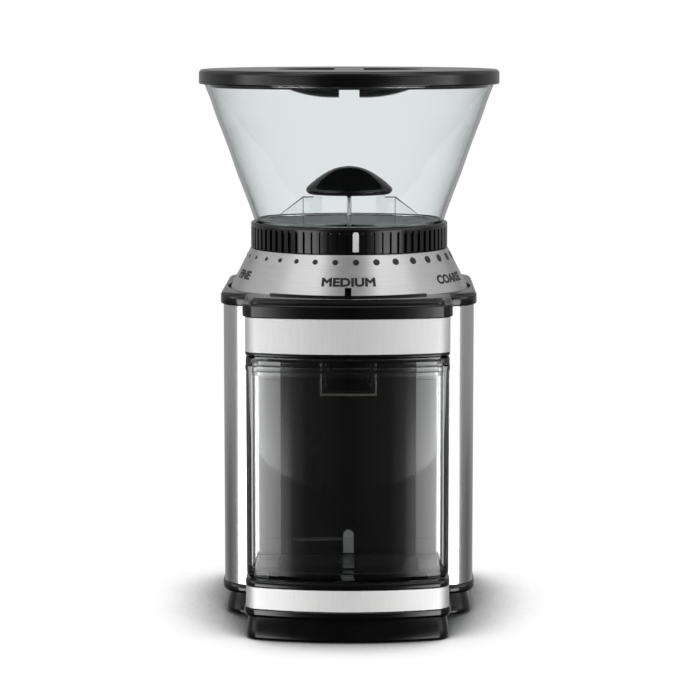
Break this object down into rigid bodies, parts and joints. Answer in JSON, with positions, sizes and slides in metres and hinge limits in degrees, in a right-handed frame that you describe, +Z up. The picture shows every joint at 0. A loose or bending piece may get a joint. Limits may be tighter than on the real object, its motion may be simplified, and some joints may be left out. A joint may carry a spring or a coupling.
{
  "type": "burr coffee grinder",
  "caption": "Electric burr coffee grinder: steel-clad body, clear tapered bean hopper on a dotted scale ring, black lid, clear pull-out grounds container.",
  "frame": {"origin": "centre of the bounding box's footprint, on the worktop under the rubber feet", "axes": "+Z up, the front with the grounds container faces -Y, +X to the right seen from the front"},
  "size_m": [0.1524, 0.1812, 0.273],
  "materials": {
    "gloss_black": "moulded, glossy",
    "steel_trim": "brushed stainless sheet",
    "inner_plastic": "moulded, plain",
    "bare_steel": "plain",
    "hardened_steel": "ground",
    "wire": "bright wire",
    "rubber": "soft",
    "clear_plastic": "clear moulded plastic",
    "smoked_plastic": "lightly smoked clear plastic",
    "gear_nylon": "moulded nylon",
    "brass": "machined",
    "circuit_board": "laminate",
    "grey_plastic": "moulded",
    "white_mark": "moulded"
  },
  "bodies": {
    "housing": {"base_tray": "gloss_black", "bottom_cover": "inner_plastic", "lower_front_band": "steel_trim", "base_screw_1": "bare_steel", "base_screw_2": "bare_steel", "base_screw_3": "bare_steel", "base_screw_4": "bare_steel", "foot_pad_1": "rubber", "foot_pad_2": "rubber", "foot_pad_3": "rubber", "foot_pad_4": "rubber", "side_shell_left": "steel_trim", "side_shell_right": "steel_trim", "rear_cover": "gloss_black", "cord_gland": "rubber", "bay_panel": "gloss_black", "top_housing": "gloss_black", "head_shell": "gloss_black", "head_cap": "gloss_black", "upper_front_band": "steel_trim", "scale_ring": "steel_trim", "grind_bowl": "inner_plastic", "shaft_bush": "brass", "chute": "inner_plastic", "gearbox_base": "inner_plastic", "gearbox_cover": "inner_plastic", "idler_pin": "bare_steel", "motor_can": "bare_steel", "motor_bell": "bare_steel", "control_plate": "gloss_black", "control_board": "circuit_board", "slide_potentiometer": "bare_steel", "start_switch": "inner_plastic", "interlock_switch": "inner_plastic"},
    "container": {"container_body": "smoked_plastic", "container_lid": "smoked_plastic"},
    "cup_slide": {"slide_knob": "gloss_black"},
    "button": {"start_button": "gloss_black"},
    "plunger": {"interlock_plunger": "grey_plastic"},
    "burr_drive": {"drive_shaft": "bare_steel", "output_gear": "gear_nylon", "burr_hub": "inner_plastic", "lower_burr": "hardened_steel", "burr_nut": "bare_steel"},
    "idler": {"idler_gear": "gear_nylon"},
    "motor_rotor": {"motor_armature": "bare_steel", "motor_pinion": "brass", "cooling_fan": "inner_plastic"},
    "grind_ring": {"adjuster_ring": "inner_plastic"},
    "top_burr": {"upper_burr": "hardened_steel", "upper_burr_carrier": "inner_plastic"},
    "handle": {"burr_handle": "wire"},
    "hopper": {"hopper_cone": "clear_plastic", "hopper_floor": "clear_plastic", "hopper_collar": "gloss_black", "index_mark": "white_mark", "bean_guard": "gloss_black"},
    "lid": {"hopper_lid": "gloss_black", "lid_seal": "rubber"}
  },
  "joints": [
    {"name": "grind_select", "type": "hinge", "parent": "housing", "child": "grind_ring", "pos_m": [0, 0.0144, 0.185], "axis": [0, 0, 1], "range_deg": [-101.7, 90.4]},
    {"name": "burr_gap", "type": "slide", "parent": "grind_ring", "child": "top_burr", "axis": [0, 0, 1], "range_m": [-0.00065, 0.0006]},
    {"name": "handle_swing", "type": "hinge", "parent": "top_burr", "child": "handle", "pos_m": [0, 0.0144, 0.189], "axis": [0, 1, 0], "range_deg": [-28, 28]},
    {"name": "hopper_lift", "type": "slide", "parent": "grind_ring", "child": "hopper", "axis": [0, 0, 1], "range_m": [0, 0.06]},
    {"name": "lid_lift", "type": "slide", "parent": "hopper", "child": "lid", "axis": [0, 0, 1], "range_m": [0, 0.05]},
    {"name": "burr_spin", "type": "hinge", "parent": "housing", "child": "burr_drive", "pos_m": [0, 0.0144, 0.15], "axis": [0, 0, 1], "continuous": true},
    {"name": "idler_spin", "type": "hinge", "parent": "housing", "child": "idler", "pos_m": [-0.0195, 0.04028, 0.13], "axis": [0, 0, 1], "continuous": true},
    {"name": "motor_spin", "type": "hinge", "parent": "housing", "child": "motor_rotor", "pos_m": [0.01021, 0.04445, 0.08], "axis": [0, 0, 1], "continuous": true},
    {"name": "container_slide", "type": "slide", "parent": "housing", "child": "container", "axis": [0, -1, 0], "range_m": [0, 0.095]},
    {"name": "interlock_press", "type": "slide", "parent": "housing", "child": "plunger", "axis": [0, -1, 0], "range_m": [0, 0.003]},
    {"name": "cup_select", "type": "slide", "parent": "housing", "child": "cup_slide", "axis": [0, 0, 1], "range_m": [-0.018, 0.018]},
    {"name": "start_press", "type": "slide", "parent": "housing", "child": "button", "axis": [-1, 0, 0], "range_m": [0, 0.0014], "stiffness_N_per_m": 500, "springref_m": -0.0006}
  ],
  "couplings": [
    {"joint": "burr_gap", "follows": "grind_select", "m_per_rad": 0.000358},
    {"joint": "idler_spin", "follows": "burr_spin", "ratio": -2.8571},
    {"joint": "motor_spin", "follows": "burr_spin", "ratio": 11.429},
    {"joint": "interlock_press", "follows": "container_slide", "ratio": 0.03}
  ]
}
